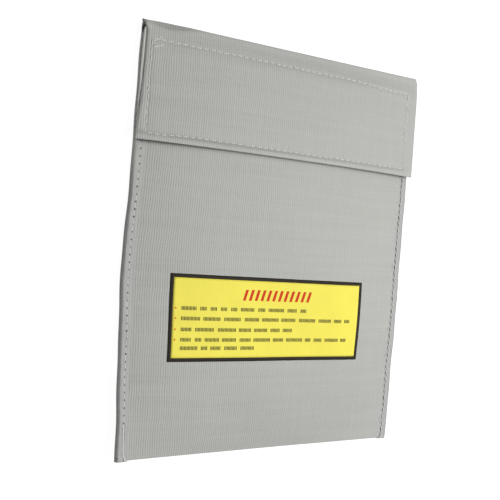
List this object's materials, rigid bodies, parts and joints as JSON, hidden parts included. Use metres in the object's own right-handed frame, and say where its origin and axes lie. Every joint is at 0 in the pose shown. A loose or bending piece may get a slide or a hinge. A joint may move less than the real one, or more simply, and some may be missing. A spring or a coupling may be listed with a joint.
{
  "type": "lithium battery charging bag",
  "caption": "Flat fire-resistant cloth envelope for charging lithium packs, with a fold-over flap, hook-and-loop closure, bound side seams and a printed panel.",
  "frame": {"origin": "under the middle of the bag, on the surface that its back panel lies on", "axes": "+X across the bag to the right of its front face, +Y from the folded bottom edge to the fold of the flap, +Z out of the front face"},
  "size_m": [0.184, 0.23, 0.0088],
  "materials": {
    "outer_cloth": "silver-grey coated glass-fibre cloth with fine ribs and a slight satin sheen",
    "lining_cloth": "grey coated glass-fibre cloth, a little darker and duller than the outside",
    "loop_tape": "black soft loop pile",
    "hook_tape": "black tape with small stiff hooks",
    "thread": "pale grey sewing thread",
    "panel_yellow": "printed yellow film through which the weave shows",
    "panel_brown": "printed dark brown film"
  },
  "bodies": {
    "sleeve": {"sleeve_outer_cloth": "outer_cloth", "sleeve_lining": "lining_cloth", "left_binding": "outer_cloth", "right_binding": "outer_cloth", "loop_tape": "loop_tape", "loop_tape_thread": "thread", "left_seam_needle_thread": "thread", "left_seam_bobbin_thread": "thread", "right_seam_needle_thread": "thread", "right_seam_bobbin_thread": "thread", "mouth_needle_thread": "thread", "mouth_bobbin_thread": "thread", "warning_panel_field": "panel_yellow", "warning_panel_frame": "panel_brown"},
    "fold": {"fold_outer_cloth": "outer_cloth", "fold_lining": "lining_cloth"},
    "flap": {"flap_outer_cloth": "outer_cloth", "flap_lining": "lining_cloth", "hook_tape": "hook_tape", "flap_needle_thread": "thread", "flap_bobbin_thread": "thread"}
  },
  "joints": [
    {"name": "back_crease", "type": "hinge", "parent": "sleeve", "child": "fold", "pos_m": [0, 0.1141, 0.0009], "axis": [-1, 0, 0], "range_deg": [0, 90]},
    {"name": "flap_crease", "type": "hinge", "parent": "fold", "child": "flap", "pos_m": [0, 0.1141, 0.00755], "axis": [-1, 0, 0], "range_deg": [0, 90]}
  ],
  "couplings": [
    {"joint": "back_crease", "follows": "flap_crease", "ratio": 1}
  ]
}
